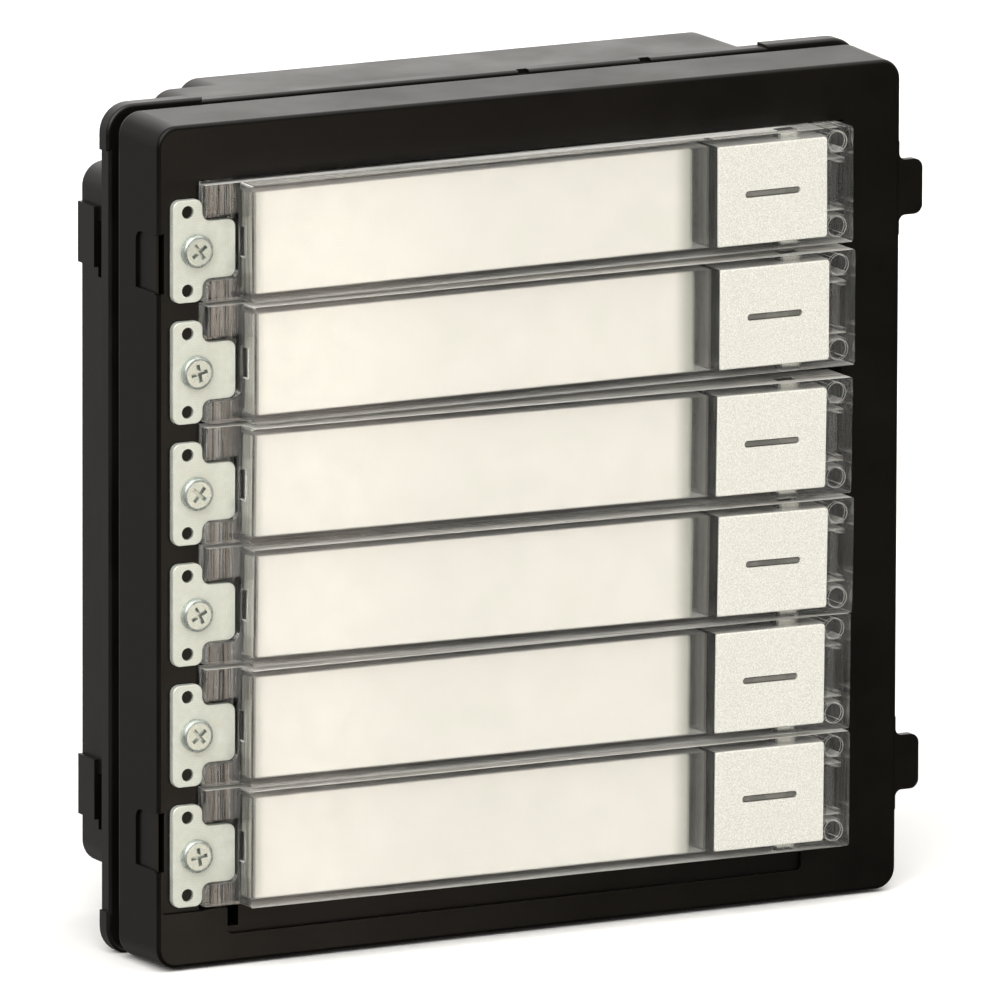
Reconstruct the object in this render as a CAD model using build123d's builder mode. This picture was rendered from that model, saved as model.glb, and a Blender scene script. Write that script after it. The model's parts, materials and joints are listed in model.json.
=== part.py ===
from build123d import *
import os
from math import radians, tan

os.makedirs("parts", exist_ok=True)

# A flush call-button module of a door station: six long clear keys in a two-part black housing.
# X runs to the right, Y to the rear, Z up. The origin is the centre of the seat plane, the rear
# face of the rim, which rests on the mounting frame. Heights count from the seat plane towards
# the front, so a plane at a height h stands at y = -h. All sizes are in millimetres.

# ---- driving sizes: housing ----
housing_width = 96.3        # flat front face
housing_height = 98.0
shell_depth = 10.2          # front shell, from its flat face to its back edge
draft = 2.0                 # degrees, side walls of the front shell
corner_radius = 2.4
front_round = 0.5
back_round = 1.2
shell_wall = 2.0
seam_gap = 1.2              # between the front shell and the rim, filled by the seal
rim_thickness = 2.0
rim_overhang = 0.4          # rim beyond the flat face, each side
rim_radius = 3.4
ear_proud = 0.3             # corner ears of the rim, at its sides and top
ear_run_x = 12.0
ear_run_z = 5.0
box_depth = 25.4            # deep part of the rear box, behind the seat plane
step_depth = 20.1           # shallow part of the rear box
box_wall = 2.0
box_inset_top = 2.6
box_inset_right = 4.15
deep_inset_left = 22.0
step_inset_left = 16.0
bay_inset_left = 7.3
bay_inset_top = 10.15
bay_inset_bottom = 5.3
box_corner = 2.8
box_back_round = 0.5

# ---- driving sizes: keys ----
key_count = 6
key_margin = 6.75           # from the flat face's top edge to the first key
key_gap = 0.5
key_rise = 3.7              # front of the keys above the flat face
key_skirt = 1.8             # how far the keys reach into their well
key_wall = 0.9
key_front = 1.2             # thickness of the clear front
hinge_margin = 5.7          # from the flat face's left edge to the hinge flange
bar_margin = 10.06          # from the flat face's left edge to the bar's left wall
end_margin = 8.24           # from the bar's right end to the flat face's right edge
cap_width = 14.3
cap_end = 3.45              # from the cap's right edge to the bar's right end
cap_proud = 0.15
slot_width = 7.2
slot_height = 0.8
guide_gap = 0.12            # round the light guide in its slot
card_gap = 2.95             # clear strip between the name card and the cap
card_thickness = 0.3
insert_thickness = 1.6
travel = 0.8                # press of a key at its cap
well_depth = 3.2
floor_thickness = 1.5
fit = 0.05                  # clearance of pieces that sit in each other
slack = 0.25                # clearance of a key in its well
key_leans = (0.29, 0.0, -0.68, -0.75, -0.43, -0.33)   # degrees, how the keys hang in their play
key_shifts = (0.0, 0.35, 0.05, 0.3, 0.0, 0.0)         # how far the keys stand to the right
shift_room = 0.45

# ---- driving sizes: hinge plates and screws ----
plate_margin = 1.75         # from the flat face's left edge to the plates
plate_thickness = 0.8
plate_tab = 3.8
plate_lobe_height = 6.7
plate_radius = 1.0
recess_depth = 0.5          # of the plates' seat in the flat face
recess_margin = 0.5
peg_radius = 0.62
peg_hole_radius = 0.75
peg_from_left = 1.87
screw_from_left = 2.95
plate_drop = 0.75           # of the plates below the middle of their keys
plate_short = 1.7           # of a plate against the height of its key
boss_radius = 2.1
plate_screw_head = 1.95     # radius
plate_screw_rise = 0.85
plate_screw_radius = 0.95
plate_screw_length = 3.4

# ---- driving sizes: electronics ----
board_thickness = 1.6
key_board_height = 2.4      # rear face of the key board above the seat plane
switch_size = 4.5
switch_height = 3.0
stem_radius = 1.2
post_radius = 1.5
post_drop = 3.4             # of the switch below the row's centre line
interface_gap = 3.4         # between the rear wall and the interface board
socket_width = 12.0
socket_height = 6.4
socket_inset = 13.0         # from the deep box's left side to the middle of the sockets
socket_rows = (24.0, 12.0)
dip_width = 16.5
dip_height = 6.4
dip_inset = 18.3            # from the box's right side to the middle of the address switch
dip_row = 18.0
board_room = 0.5            # round the key board, and 1.0 between the rear board and its walls

# ---- heights from the seat plane ----
shell_back = rim_thickness + seam_gap
front_face = shell_back + shell_depth
well_floor = front_face - well_depth
floor_back = well_floor - floor_thickness
bar_front = front_face + key_rise
bar_back = front_face - key_skirt
plate_seat = front_face - recess_depth
plate_front = plate_seat + plate_thickness
board_front = key_board_height + board_thickness
rear_inner = -(box_depth - box_wall)
interface_rear = rear_inner + interface_gap
interface_front = interface_rear + board_thickness

# ---- places across the face ----
half_width = housing_width / 2
half_height = housing_height / 2
flare = shell_depth * tan(radians(draft))
stack_half = half_height - key_margin
pitch = 2 * stack_half / key_count
key_height = pitch - key_gap
rows = [stack_half - pitch * (row + 0.5) for row in range(key_count)]
flange_left = -half_width + hinge_margin
bar_left = -half_width + bar_margin
bar_right = half_width - end_margin
cap_right = bar_right - cap_end
cap_left = cap_right - cap_width
cap_middle = (cap_left + cap_right) / 2
cap_height = key_height - 2 * key_wall - 2 * fit
card_left = bar_left + key_wall + fit
card_right = cap_left - card_gap
well_half = stack_half + slack
well_left = flange_left - slack
well_right = bar_right + slack + shift_room
plate_left = -half_width + plate_margin
plate_right = bar_left - 0.3
screw_x = plate_left + screw_from_left
peg_x = plate_left + peg_from_left
peg_z = key_height / 2 - 2.25
plate_rows = [z - plate_drop for z in rows]
plate_height = key_height - plate_short
flange_back = plate_seat - 1.5
flange_front = plate_front + 0.5
pivot_x = flange_left + 2.3
boss_notch_right = screw_x + boss_radius + 0.3
rim_width = housing_width + 2 * rim_overhang
rim_height = housing_height + 2 * rim_overhang
inner_width = housing_width - 2 * shell_wall
inner_height = housing_height - 2 * shell_wall
box_half = half_height - box_inset_top
box_right = half_width - box_inset_right
deep_left = -half_width + deep_inset_left
step_left = -half_width + step_inset_left
bay_left = -half_width + bay_inset_left
bay_high = half_height - bay_inset_top
bay_low = -half_height + bay_inset_bottom
pillar_inset = 5.0          # of the housing screws from the sides of the deep box
pillar_drop = 4.4
board_screw_inset = 4.0
pocket_drop = 15.9          # of the upper pocket and hook from the top edge, and of the lower ones
hook_drop = 15.2            # from the bottom edge
low_rise = 14.8
pillar_columns = (deep_left + pillar_inset, box_right - pillar_inset - 0.3)
pillar_spots = [(x, z) for x in pillar_columns for z in (box_half - pillar_drop, pillar_drop - box_half)]
board_columns = (card_left + board_screw_inset, cap_right + cap_end / 2)
board_spots = [(x, z) for x in board_columns for z in (2 * pitch, -2 * pitch)]
pocket_spots = [half_height - pocket_drop, low_rise - half_height]
hook_spots = [half_height - hook_drop, low_rise - half_height]


def face_plane(height, z=0.0):
    # A plane that faces the front, with its own x along X and its own y along Z.
    return Plane(origin=(0, -height, z), x_dir=(1, 0, 0), z_dir=(0, -1, 0))


def patch(left, right, low, high, mode=Mode.ADD):
    # A rectangle given by its four sides.
    with Locations(((left + right) / 2, (low + high) / 2)):
        Rectangle(right - left, high - low, mode=mode)


# ---- front housing: tapered shell, key well, plate recess, hooks and bosses ----
hook_reach = 3.0
hook_thickness = 1.0
hook_height = 6.5
lip_thickness = 0.45
pocket_depth = 5.3
pocket_height = 6.6
skin_recess = 0.15
skin_thickness = 0.3
skin_setback = 0.8
slot_gap = 0.55
channel_depth = 0.7
channel_height = 3.15
channel_left = -half_width + 8.9
channel_right = bar_right - 4.3
notch_width = 1.75
pillar_radius = 3.5
housing_screw_radius = 1.25
board_screw_radius = 0.8
board_boss_radius = 2.0
guide_hole = 4.0
play_room = 1.2             # of the posts and latches in the floor openings
latch_half = 2.5
skin_face = -half_width + skin_recess
pocket_slot_left = skin_face + skin_thickness
pocket_slot_right = pocket_slot_left + slot_gap

with BuildPart() as front_housing:
    with BuildSketch(face_plane(shell_back)):
        RectangleRounded(housing_width + 2 * flare, housing_height + 2 * flare, corner_radius + flare)
    extrude(amount=shell_depth, taper=draft)
    fillet(front_housing.faces().sort_by(Axis.Y)[0].edges(), front_round)
    fillet(front_housing.faces().sort_by(Axis.Y)[-1].edges(), back_round)
    with BuildSketch(face_plane(shell_back)):
        RectangleRounded(inner_width, inner_height, corner_radius)
    extrude(amount=floor_back - shell_back, mode=Mode.SUBTRACT)
    # key well, plate recess, drain channel under the lowest key and its deep notch
    with BuildSketch(face_plane(front_face)):
        patch(well_left, well_right, -well_half, well_half)
    extrude(amount=-well_depth, mode=Mode.SUBTRACT)
    with BuildSketch(face_plane(front_face)) as plate_recess:
        patch(-half_width + recess_margin, well_left + 0.5, -well_half - 0.1, well_half + 0.1)
        fillet(plate_recess.vertices().group_by(Axis.X)[0], 0.5)
    extrude(amount=-recess_depth, mode=Mode.SUBTRACT)
    with BuildSketch(face_plane(front_face)) as channel:
        patch(channel_left, channel_right, -well_half - channel_height, 0.2 - well_half)
        fillet(channel.vertices().group_by(Axis.Y)[0], 0.7)
    extrude(amount=-channel_depth, mode=Mode.SUBTRACT)
    with BuildSketch(face_plane(front_face)):
        patch(channel_left, channel_left + notch_width, 0.8 - well_half - channel_height, 0.2 - well_half)
    extrude(amount=-well_depth, mode=Mode.SUBTRACT)
    # rib that the keys rock on, screw bosses and locating pegs of the hinge plates
    with BuildSketch(face_plane(well_floor)):
        patch(pivot_x - 0.4, pivot_x + 0.4, -well_half, well_half)
    extrude(amount=flange_back - well_floor - fit)
    with BuildSketch(face_plane(well_floor)):
        with Locations(*[(screw_x, z) for z in plate_rows]):
            Circle(boss_radius)
    extrude(amount=plate_seat - well_floor)
    with BuildSketch(face_plane(plate_seat)):
        with Locations(*[(peg_x, z + side * peg_z) for z in plate_rows for side in (-1, 1)]):
            Circle(peg_radius)
    extrude(amount=plate_thickness - 0.25)
    with BuildSketch(face_plane(plate_seat)):
        with Locations(*[(screw_x, z) for z in plate_rows]):
            Circle(plate_screw_radius + fit)
    extrude(amount=-plate_screw_length - 0.3, mode=Mode.SUBTRACT)
    # floor openings of each row: light window, guide slot, post hole and latch hole
    with BuildSketch(face_plane(well_floor)):
        for z in rows:
            patch(card_left + 7.5, card_right - 2.0, z - key_height / 2 + 2.4, z + key_height / 2 - 2.4)
            with Locations((cap_middle, z)):
                RectangleRounded(slot_width + 3.0, guide_hole, 0.6)
            with Locations((cap_middle, z - post_drop)):
                Circle(post_radius + play_room)
            hole_half = latch_half + play_room
            patch(bar_right - 2.1, bar_right - 0.65 + shift_room, z - hole_half, z + hole_half)
    extrude(amount=-floor_thickness, mode=Mode.SUBTRACT)
    # bosses behind the floor for the board screws and the housing screws
    with BuildSketch(face_plane(floor_back)):
        with Locations(*board_spots):
            Circle(board_boss_radius)
            Circle(board_screw_radius + fit, mode=Mode.SUBTRACT)
    extrude(amount=board_front - floor_back)
    with BuildSketch(face_plane(floor_back)):
        with Locations(*pillar_spots):
            Circle(pillar_radius - 0.5)
            Circle(housing_screw_radius + fit, mode=Mode.SUBTRACT)
    extrude(amount=rim_thickness + fit - floor_back)
    # hook pockets in the left wall: a thin skin set back from the front, with a slot behind it
    for z in pocket_spots:
        with BuildSketch(Plane.YZ.offset(skin_face)) as pocket:
            patch(-front_face - 1, pocket_depth - front_face, z - pocket_height / 2, z + pocket_height / 2)
            fillet(pocket.vertices().group_by(Axis.Y)[-1], 1.2)
        extrude(amount=-2, mode=Mode.SUBTRACT)
        with BuildSketch(face_plane(front_face)):
            patch(pocket_slot_left, pocket_slot_right, z - 3.5, z + 3.5)
        extrude(amount=-pocket_depth, mode=Mode.SUBTRACT)
        with BuildSketch(face_plane(front_face)):
            patch(-half_width - 1, pocket_slot_right, z - 3.5, z + 3.5)
        extrude(amount=-skin_setback, mode=Mode.SUBTRACT)
    # hook tabs on the right wall, each with a lip that turns to the rear
    for z in hook_spots:
        with BuildSketch(face_plane(front_face - hook_thickness - 0.1, z)) as hook:
            patch(half_width - 2, half_width + hook_reach, -hook_height / 2, hook_height / 2)
            patch(half_width - 2, half_width - 0.05, 1 - hook_height, hook_height - 1)
            fillet(hook.vertices().group_by(Axis.X)[-1], 1.1)
            roots = hook.vertices().group_by(Axis.X)[1].sort_by(Axis.Y)
            fillet(roots[1:-1], 0.8)
        extrude(amount=hook_thickness)
        with BuildSketch(face_plane(front_face - hook_thickness - 0.1, z)):
            patch(half_width + hook_reach - lip_thickness, half_width + hook_reach - 0.02, -2.2, 2.2)
        extrude(amount=-3.2)
front_housing.part.label = "front_housing"
export_step(front_housing.part, "parts/front_housing.step")

# ---- rear housing: rim with ears, locating lip, stepped box, screw wells and snap catches ----
lip_wall = 1.5
lip_rise = 3.0
lip_slack = 0.15
lip_width = inner_width - 2 * lip_slack
lip_height = inner_height - 2 * lip_slack
well_screw_head = 2.6       # radius of the wells of the housing screws
screw_ledge = -3.0          # height of the ledge under the heads of the housing screws
catch_proud = 0.55
catch_length = 4.1
catch_height = 7.1
catch_drop = 18.2
catch_spots = [half_height - catch_drop, low_rise - half_height]
pry_spots = [4.9, 20.8]
pry_half = 0.7
socket_spots = [(deep_left + socket_inset, z) for z in socket_rows]
dip_spot = (box_right - dip_inset, dip_row)
plug_border = 1.8
boss_inset = 6.0
boss_rows = (-30.0, 31.5)
boss_spots = [(x, z) for x in (deep_left + boss_inset, box_right - boss_inset) for z in boss_rows]
boss_hole = 1.0
label_width = 46.0
label_height = 24.0
label_row = -16.0
groove_length = 34.0
groove_width = 1.6
groove_inset = 9.9
rear_middle = (deep_left + box_right) / 2

with BuildSketch() as deep_outline:
    patch(deep_left, box_right, -box_half, box_half)
    fillet(deep_outline.vertices(), box_corner)

with BuildSketch() as shallow_outline:
    patch(step_left, box_right, -box_half, box_half)
    patch(bay_left, step_left, bay_low, bay_high)
    steps = shallow_outline.vertices().group_by(Axis.X)
    middle = steps[1].sort_by(Axis.Y)
    fillet(steps[0] + steps[2] + [middle[-1]], box_corner)
    low_corner = shallow_outline.vertices().filter_by_position(Axis.X, step_left - 0.01, step_left + 0.01)
    fillet(low_corner.sort_by(Axis.Y)[0], box_corner - 1.0)
    bay_corners = shallow_outline.vertices().filter_by_position(Axis.X, step_left - 0.01, step_left + 0.01)
    fillet(bay_corners.filter_by_position(Axis.Y, bay_low - 0.01, bay_high + 0.01), 0.8)

with BuildPart() as rear_housing:
    with BuildSketch(face_plane(0)):
        add(deep_outline.sketch)
    extrude(amount=-box_depth)
    fillet(rear_housing.faces().sort_by(Axis.Y)[-1].edges(), box_back_round)
    with BuildSketch(face_plane(0)):
        add(shallow_outline.sketch)
    extrude(amount=-step_depth)
    with BuildSketch(face_plane(0)):
        RectangleRounded(rim_width + 2 * ear_proud, rim_height + 2 * ear_proud, rim_radius)
        with Locations((0, (rim_height + ear_proud) / 2)):
            Rectangle(rim_width - 2 * ear_run_x, ear_proud, mode=Mode.SUBTRACT)
        with Locations((0, -(rim_height + ear_proud) / 2)):
            Rectangle(rim_width + 2 * ear_proud, ear_proud, mode=Mode.SUBTRACT)
        with GridLocations(rim_width + ear_proud, 0, 2, 1):
            Rectangle(ear_proud, rim_height - 2 * ear_run_z, mode=Mode.SUBTRACT)
    extrude(amount=rim_thickness)
    fillet(rear_housing.faces().sort_by(Axis.Y)[0].outer_wire().edges(), 0.4)
    with BuildSketch(face_plane(rim_thickness)):
        RectangleRounded(lip_width, lip_height, corner_radius - lip_slack)
        RectangleRounded(lip_width - 2 * lip_wall, lip_height - 2 * lip_wall, 1.0, mode=Mode.SUBTRACT)
    extrude(amount=lip_rise)
    # hollow of the box
    with BuildSketch(face_plane(rim_thickness)):
        add(shallow_outline.sketch)
        offset(amount=-box_wall)
    extrude(amount=-rim_thickness - step_depth + box_wall, mode=Mode.SUBTRACT)
    with BuildSketch(face_plane(0)):
        add(deep_outline.sketch)
        offset(amount=-box_wall)
    extrude(amount=rear_inner, mode=Mode.SUBTRACT)
    # screw wells: pillars from the rear wall to the rim, with a ledge for each head
    with BuildSketch(face_plane(rear_inner - 0.5)):
        with Locations(*pillar_spots):
            Circle(pillar_radius)
    extrude(amount=rim_thickness - rear_inner + 0.5)
    with BuildSketch(face_plane(-box_depth)):
        with Locations(*pillar_spots):
            Circle(well_screw_head)
    extrude(amount=box_depth + screw_ledge, mode=Mode.SUBTRACT)
    with BuildSketch(face_plane(screw_ledge)):
        with Locations(*pillar_spots):
            Circle(housing_screw_radius + 0.15)
    extrude(amount=rim_thickness - screw_ledge, mode=Mode.SUBTRACT)
    # bosses of the interface board
    with BuildSketch(face_plane(rear_inner)):
        with Locations(*boss_spots):
            Circle(board_boss_radius + 0.4)
    extrude(amount=interface_gap)
    with BuildSketch(face_plane(interface_rear)):
        with Locations(*boss_spots):
            Circle(boss_hole + fit)
    extrude(amount=-interface_gap - 0.8, mode=Mode.SUBTRACT)
    # windows of the two sockets, and the switch window with the seat of its plug
    with BuildSketch(face_plane(-box_depth)):
        with Locations(*socket_spots):
            Rectangle(socket_width + 0.4, socket_height + 0.4)
        with Locations(dip_spot):
            RectangleRounded(dip_width + 2.0, dip_height + 2.0, 1.5)
    extrude(amount=box_wall, mode=Mode.SUBTRACT)
    with BuildSketch(face_plane(-box_depth)):
        with Locations(dip_spot):
            RectangleRounded(dip_width + 2.0 + 2 * plug_border, dip_height + 2.0 + 2 * plug_border, 2.5)
    extrude(amount=1.0, mode=Mode.SUBTRACT)
    # blank label seat and two long stiffening grooves in the rear face
    with BuildSketch(face_plane(-box_depth)):
        with Locations((rear_middle, label_row)):
            RectangleRounded(label_width, label_height, 1.5)
    extrude(amount=0.3, mode=Mode.SUBTRACT)
    with BuildSketch(face_plane(-box_depth)):
        with Locations(*[(rear_middle, side * (box_half - groove_inset)) for side in (-1, 1)]):
            SlotOverall(groove_length, groove_width)
    extrude(amount=0.6, mode=Mode.SUBTRACT)
    # snap catches on the left wall of the bay, each with a relief slot
    for z in catch_spots:
        with BuildSketch(Plane.YZ.offset(bay_left + 0.5)):
            patch(step_depth - catch_length, step_depth, z - catch_height / 2, z + catch_height / 2)
        extrude(amount=-catch_proud - 0.5)
        with BuildSketch(Plane.YZ.offset(bay_left - 0.2)):
            patch(step_depth - catch_length - 0.8, step_depth - catch_length, z - 4.7, z + 1.9)
        extrude(amount=box_wall + 0.4, mode=Mode.SUBTRACT)
    # pry notches in the rim
    with BuildSketch(face_plane(rim_thickness)):
        for x in pry_spots:
            patch(x - pry_half, x + pry_half, rim_height / 2 - 0.5, rim_height / 2 + 1)
    extrude(amount=-0.8, mode=Mode.SUBTRACT)
rear_housing.part.label = "rear_housing"
export_step(rear_housing.part, "parts/rear_housing.step")

# ---- seal in the seam, round the locating lip ----
seal_inset = 1.0
with BuildPart() as seal_gasket:
    with BuildSketch(face_plane(rim_thickness)):
        RectangleRounded(housing_width - 2 * seal_inset, housing_height - 2 * seal_inset, corner_radius)
        RectangleRounded(lip_width + 2 * fit, lip_height + 2 * fit, corner_radius - 0.1, mode=Mode.SUBTRACT)
    extrude(amount=seam_gap)
seal_gasket.part.label = "seal_gasket"
export_step(seal_gasket.part, "parts/seal_gasket.step")

# ---- one row: clear key, silver cap, light guide, name card, opal insert, plate, switch stem ----
bar_middle = (bar_left + bar_right) / 2
half_key = key_height / 2
half_cavity = half_key - key_wall
half_cap = cap_height / 2
cavity_front = bar_front - key_front
cap_front = bar_front + cap_proud
cap_plate = 1.5
cap_skirt = cap_front - 4.4
post_tip = floor_back - 0.7
guide_tip = board_front + switch_height + travel + 0.2
latch_tip = floor_back - 0.7
snap_left = cap_left + 8.65
snap_right = snap_left + 2.5
snap_front = cavity_front - 0.2
snap_back = snap_front - 1.4
lobe_gap = 0.15
lobe_gap_top = 0.7
half_lobe = plate_lobe_height / 2
cell_wall = 0.8

with BuildSketch() as plate_outline:
    patch(plate_left, plate_left + plate_tab, -plate_height / 2, plate_height / 2)
    patch(plate_left, plate_right, -half_lobe, half_lobe)
    fillet(plate_outline.vertices(), plate_radius)

for row, z in enumerate(rows, start=1):
    # a key hangs a little askew about its hinge and stands a little to the right
    lean = Rot(0, -key_leans[row - 1], 0)
    play = Pos(pivot_x + key_shifts[row - 1], 0, z) * lean * Pos(-pivot_x, 0, -z)
    plate_z = z - plate_drop
    with BuildPart() as key_cover:
        with BuildSketch(face_plane(bar_back, z)) as bar:
            patch(bar_left, bar_right, -half_key, half_key)
            fillet(bar.vertices(), 0.3)
        extrude(amount=bar_front - bar_back)
        # hollow behind the clear front, open to the rear
        with BuildSketch(face_plane(bar_back, z)):
            patch(bar_left + key_wall, cap_left - cell_wall, -half_cavity, half_cavity)
            patch(cap_right + cell_wall, bar_right - cell_wall, -half_cavity, half_cavity)
            patch(cap_right, bar_right - cell_wall, 3.1, 3.7, mode=Mode.SUBTRACT)
            patch(cap_right, bar_right - cell_wall, -3.7, -3.1, mode=Mode.SUBTRACT)
        extrude(amount=cavity_front - bar_back, mode=Mode.SUBTRACT)
        with BuildSketch(face_plane(bar_back, z)):
            patch(cap_left - fit, cap_right + fit, -half_cavity, half_cavity)
        extrude(amount=bar_front - bar_back, mode=Mode.SUBTRACT)
        # round posts in the end cells, latch in the middle cell
        with BuildSketch(face_plane(cavity_front, z)):
            with Locations(*[(bar_right - cap_end / 2, side * (half_cavity - 0.9)) for side in (-1, 1)]):
                Circle(1.15)
        extrude(amount=bar_back - cavity_front)
        with BuildSketch(face_plane(cavity_front, z)):
            patch(bar_right - 1.6, bar_right - 0.8, -latch_half, latch_half)
        extrude(amount=latch_tip - cavity_front)
        with BuildSketch(face_plane(floor_back - 0.1, z)):
            patch(bar_right - 0.8, bar_right - 0.1, -latch_half, latch_half)
        extrude(amount=latch_tip - floor_back + 0.1)
        # snap windows of the cap in the top and bottom walls
        with BuildSketch(face_plane(snap_front, z)):
            patch(snap_left, snap_right, -half_key, half_key)
        extrude(amount=snap_back - snap_front, mode=Mode.SUBTRACT)
        # hinge flange with two lobes, cut low where the plate's lobe holds it
        with BuildSketch(face_plane(flange_back, z)):
            patch(flange_left, bar_left + 0.3, -half_key, half_key)
        extrude(amount=flange_front - flange_back)
        with BuildSketch(face_plane(plate_seat - 0.1, plate_z)):
            add(plate_outline.sketch)
            offset(amount=lobe_gap)
            patch(flange_left, plate_right + lobe_gap, 0, half_lobe + lobe_gap_top)
        extrude(amount=flange_front - plate_seat + 0.1, mode=Mode.SUBTRACT)
        with BuildSketch(face_plane(flange_back, plate_z)):
            patch(flange_left, boss_notch_right, -boss_radius - 0.4, boss_radius + 0.4)
        extrude(amount=flange_front - flange_back, mode=Mode.SUBTRACT)
        # steps of the left wall beside the plate
        with BuildSketch(face_plane(plate_front, z)):
            patch(bar_left, bar_left + 0.45, -1.8, 1.8)
        extrude(amount=key_rise - 2.0, mode=Mode.SUBTRACT)
    placed = play * key_cover.part
    placed.label = f"key_cover_{row}"
    export_step(placed, f"parts/key_cover_{row}.step")

    with BuildPart() as button_cap:
        with BuildSketch(face_plane(cap_skirt, z)) as cap_outline:
            patch(cap_left, cap_right, -half_cap, half_cap)
            fillet(cap_outline.vertices(), 0.35)
        extrude(amount=cap_front - cap_skirt)
        fillet(button_cap.faces().sort_by(Axis.Y)[0].edges(), 0.15)
        with BuildSketch(face_plane(cap_skirt, z)):
            patch(cap_left + 0.9, cap_right - 0.9, 0.9 - half_cap, half_cap - 0.9)
        extrude(amount=cap_front - cap_plate - cap_skirt, mode=Mode.SUBTRACT)
        with BuildSketch(face_plane(cap_front, z)):
            with Locations((cap_middle, 0)):
                SlotOverall(slot_width, slot_height)
        extrude(amount=-cap_plate, mode=Mode.SUBTRACT)
        # post that presses the switch, and the snap noses in the windows of the key
        with BuildSketch(face_plane(cap_front - cap_plate, z)):
            with Locations((cap_middle, -post_drop)):
                Circle(post_radius)
        extrude(amount=post_tip - cap_front + cap_plate)
        with BuildSketch(face_plane(snap_front - 0.2, z)):
            patch(snap_left + 0.2, snap_right - 0.2, -half_cap - 0.6, half_cap + 0.6)
            patch(snap_left + 0.2, snap_right - 0.2, 0.5 - half_cap, half_cap - 0.5, mode=Mode.SUBTRACT)
        extrude(amount=-1.0)
    placed = play * button_cap.part
    placed.label = f"button_cap_{row}"
    export_step(placed, f"parts/button_cap_{row}.step")

    with BuildPart() as light_guide:
        with BuildSketch(face_plane(cap_front - cap_plate, z)):
            with Locations((cap_middle, 0)):
                SlotOverall(slot_width - 2 * guide_gap, slot_height - 2 * guide_gap)
        extrude(amount=cap_plate - 0.2)
        with BuildSketch(face_plane(cap_front - cap_plate, z)):
            with Locations((cap_middle, 0)):
                Rectangle(slot_width + 1.0, slot_height + 0.8)
        extrude(amount=guide_tip - cap_front + cap_plate)
    placed = play * light_guide.part
    placed.label = f"light_guide_{row}"
    export_step(placed, f"parts/light_guide_{row}.step")

    with BuildPart() as name_card:
        with BuildSketch(face_plane(cavity_front - fit, z)) as card:
            patch(card_left, card_right, fit - half_cavity, half_cavity - fit)
            fillet(card.vertices(), 0.3)
        extrude(amount=-card_thickness)
    placed = play * name_card.part
    placed.label = f"name_card_{row}"
    export_step(placed, f"parts/name_card_{row}.step")

    with BuildPart() as card_insert:
        with BuildSketch(face_plane(cavity_front - fit - card_thickness, z)) as insert:
            patch(card_left, card_right, fit - half_cavity, half_cavity - fit)
            fillet(insert.vertices(), 0.3)
        extrude(amount=-insert_thickness)
    placed = play * card_insert.part
    placed.label = f"card_insert_{row}"
    export_step(placed, f"parts/card_insert_{row}.step")

    with BuildPart() as hinge_plate:
        with BuildSketch(face_plane(plate_seat, plate_z)):
            add(plate_outline.sketch)
            with Locations(*[(peg_x, side * peg_z) for side in (-1, 1)]):
                Circle(peg_hole_radius, mode=Mode.SUBTRACT)
            with Locations((screw_x, 0)):
                Circle(plate_screw_radius + 0.15, mode=Mode.SUBTRACT)
        extrude(amount=plate_thickness)
        fillet(hinge_plate.faces().sort_by(Axis.Y)[0].outer_wire().edges(), 0.12)
    hinge_plate.part.label = f"hinge_plate_{row}"
    export_step(hinge_plate.part, f"parts/hinge_plate_{row}.step")

    with BuildPart() as switch_stem:
        with BuildSketch(face_plane(post_tip, z)):
            with Locations((cap_middle, -post_drop)):
                Circle(stem_radius)
        extrude(amount=board_front + switch_height - 1.2 - post_tip)
    switch_stem.part.label = f"switch_stem_{row}"
    export_step(switch_stem.part, f"parts/switch_stem_{row}.step")

# ---- screws of the hinge plates: pan heads with a cross recess ----
cross_length = 2.1
cross_width = 0.45
cross_depth = 0.5
cross_turns = (35, 12, 50, 28, 40, 8)   # degrees, where each screw stopped
with BuildPart() as plate_screws:
    with BuildSketch(face_plane(plate_front)):
        with Locations(*[(screw_x, z) for z in plate_rows]):
            Circle(plate_screw_head)
    extrude(amount=plate_screw_rise)
    fillet(plate_screws.edges().filter_by(GeomType.CIRCLE).group_by(Axis.Y)[0], 0.45)
    with BuildSketch(face_plane(plate_front + plate_screw_rise)):
        for z, turn in zip(plate_rows, cross_turns):
            with Locations((screw_x, z)):
                Rectangle(cross_length, cross_width, rotation=turn)
                Rectangle(cross_width, cross_length, rotation=turn)
    extrude(amount=-cross_depth, mode=Mode.SUBTRACT)
    with BuildSketch(face_plane(plate_front)):
        with Locations(*[(screw_x, z) for z in plate_rows]):
            Circle(plate_screw_radius)
    extrude(amount=-plate_screw_length)
plate_screws.part.label = "plate_screws"
export_step(plate_screws.part, "parts/plate_screws.step")

# ---- key board with its switches and lamps ----
board_left = well_left - board_room
board_right = box_right - 2 * board_room
board_half = well_half - board_room
pillar_room = pillar_radius + 0.6
with BuildPart() as key_board:
    with BuildSketch(face_plane(key_board_height)):
        patch(board_left, board_right, -board_half, board_half)
        with Locations(*pillar_spots):
            Circle(pillar_room, mode=Mode.SUBTRACT)
        with Locations(*board_spots):
            Circle(board_screw_radius + 0.2, mode=Mode.SUBTRACT)
        for x, z in pillar_spots:
            edge = board_half if z > 0 else -board_half
            low, high = sorted((z, edge))
            patch(x - pillar_room, x + pillar_room, low, high, mode=Mode.SUBTRACT)
    extrude(amount=board_thickness)
key_board.part.label = "key_board"
export_step(key_board.part, "parts/key_board.step")

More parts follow.
